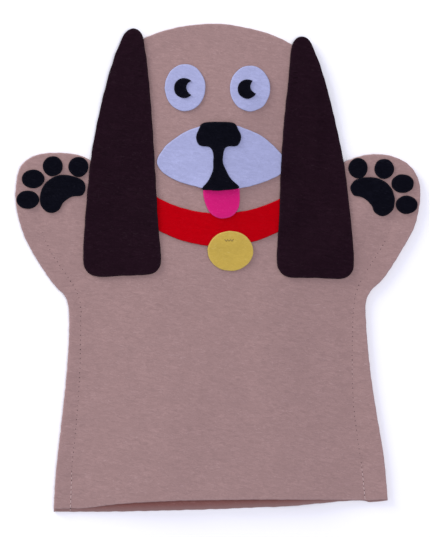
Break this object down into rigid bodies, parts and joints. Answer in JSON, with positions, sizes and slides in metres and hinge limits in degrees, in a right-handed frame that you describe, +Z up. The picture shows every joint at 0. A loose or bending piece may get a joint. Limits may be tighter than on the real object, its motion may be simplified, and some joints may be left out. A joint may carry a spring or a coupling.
{
  "type": "hand puppet",
  "caption": "Flat felt glove puppet of a dog with folding arms, a nodding head, hanging ears, a collar with a tag, and an open hem for the hand.",
  "frame": {"origin": "middle of the footprint, on the surface that the puppet lies on, face up", "axes": "+Y towards the top of the head, +X to the right as the face is looked at, +Z up out of the face"},
  "size_m": [0.2416, 0.2912, 0.0121],
  "materials": {
    "tan_felt": "matte",
    "brown_felt": "matte",
    "white_felt": "matte",
    "black_felt": "matte",
    "red_felt": "matte",
    "pink_felt": "matte",
    "yellow_felt": "matte",
    "tan_thread": "matte",
    "dark_thread": "matte",
    "grey_thread": "matte"
  },
  "bodies": {
    "skirt": {"back_skirt": "tan_felt", "front_skirt": "tan_felt", "seam_thread_skirt": "tan_thread"},
    "chest": {"back_chest": "tan_felt", "front_chest": "tan_felt", "seam_thread_chest": "tan_thread", "collar": "red_felt", "tag_upper": "yellow_felt", "tag_tack": "grey_thread"},
    "head": {"back_head": "tan_felt", "front_head": "tan_felt", "seam_thread_head": "tan_thread", "eye_white_left": "white_felt", "eye_white_right": "white_felt", "pupil_left": "black_felt", "pupil_right": "black_felt", "muzzle": "white_felt", "nose_mouth": "black_felt", "ear_left_top": "brown_felt", "ear_left_stitches": "dark_thread", "ear_right_top": "brown_felt", "ear_right_stitches": "dark_thread"},
    "arm_left": {"back_arm_left": "tan_felt", "front_arm_left": "tan_felt", "seam_thread_arm_left": "tan_thread", "paw_pad_left": "black_felt", "toe_left_1": "black_felt", "toe_left_2": "black_felt", "toe_left_3": "black_felt", "toe_left_4": "black_felt"},
    "arm_right": {"back_arm_right": "tan_felt", "front_arm_right": "tan_felt", "seam_thread_arm_right": "tan_thread", "paw_pad_right": "black_felt", "toe_right_1": "black_felt", "toe_right_2": "black_felt", "toe_right_3": "black_felt", "toe_right_4": "black_felt"},
    "ear_hang_left": {"ear_left_bend": "brown_felt"},
    "ear_hang_right": {"ear_right_bend": "brown_felt"},
    "ear_left": {"ear_left_flap": "brown_felt"},
    "ear_right": {"ear_right_flap": "brown_felt"},
    "tongue": {"tongue": "pink_felt"},
    "tag": {"tag_lower": "yellow_felt"}
  },
  "joints": [
    {"name": "waist_bow", "type": "hinge", "parent": "skirt", "child": "chest", "pos_m": [0, -0.033, 0.0089], "axis": [1, 0, 0], "range_deg": [0, 60]},
    {"name": "head_nod", "type": "hinge", "parent": "chest", "child": "head", "pos_m": [0, 0.044, 0.0114], "axis": [1, 0, 0], "range_deg": [0, 35]},
    {"name": "arm_left_fold", "type": "hinge", "parent": "chest", "child": "arm_left", "pos_m": [-0.078, 0.048, 0.0101], "axis": [0.1688, 0.9856, 0], "range_deg": [0, 80]},
    {"name": "arm_right_fold", "type": "hinge", "parent": "chest", "child": "arm_right", "pos_m": [0.078, 0.047, 0.0101], "axis": [0.1726, -0.985, 0], "range_deg": [0, 80]},
    {"name": "ear_left_hang", "type": "hinge", "parent": "head", "child": "ear_hang_left", "pos_m": [-0.05, 0.111, 0.0119], "axis": [-1, 0, 0], "range_deg": [0, 17]},
    {"name": "ear_right_hang", "type": "hinge", "parent": "head", "child": "ear_hang_right", "pos_m": [0.05, 0.107, 0.0119], "axis": [-1, 0, 0], "range_deg": [0, 17]},
    {"name": "ear_left_lift", "type": "hinge", "parent": "ear_hang_left", "child": "ear_left", "pos_m": [-0.05, 0.091, 0.0119], "axis": [-1, 0, 0], "range_deg": [0, 150]},
    {"name": "ear_right_lift", "type": "hinge", "parent": "ear_hang_right", "child": "ear_right", "pos_m": [0.05, 0.087, 0.0119], "axis": [-1, 0, 0], "range_deg": [0, 150]},
    {"name": "tongue_lift", "type": "hinge", "parent": "chest", "child": "tongue", "pos_m": [0.002, 0.0452, 0.0114], "axis": [-1, 0, 0], "range_deg": [0, 100]},
    {"name": "tag_lift", "type": "hinge", "parent": "chest", "child": "tag", "pos_m": [0.0065, 0.0158, 0.0112], "axis": [-1, 0, 0], "range_deg": [0, 120]}
  ],
  "couplings": [
    {"joint": "ear_left_hang", "follows": "head_nod", "ratio": 0.47},
    {"joint": "ear_right_hang", "follows": "head_nod", "ratio": 0.47}
  ]
}
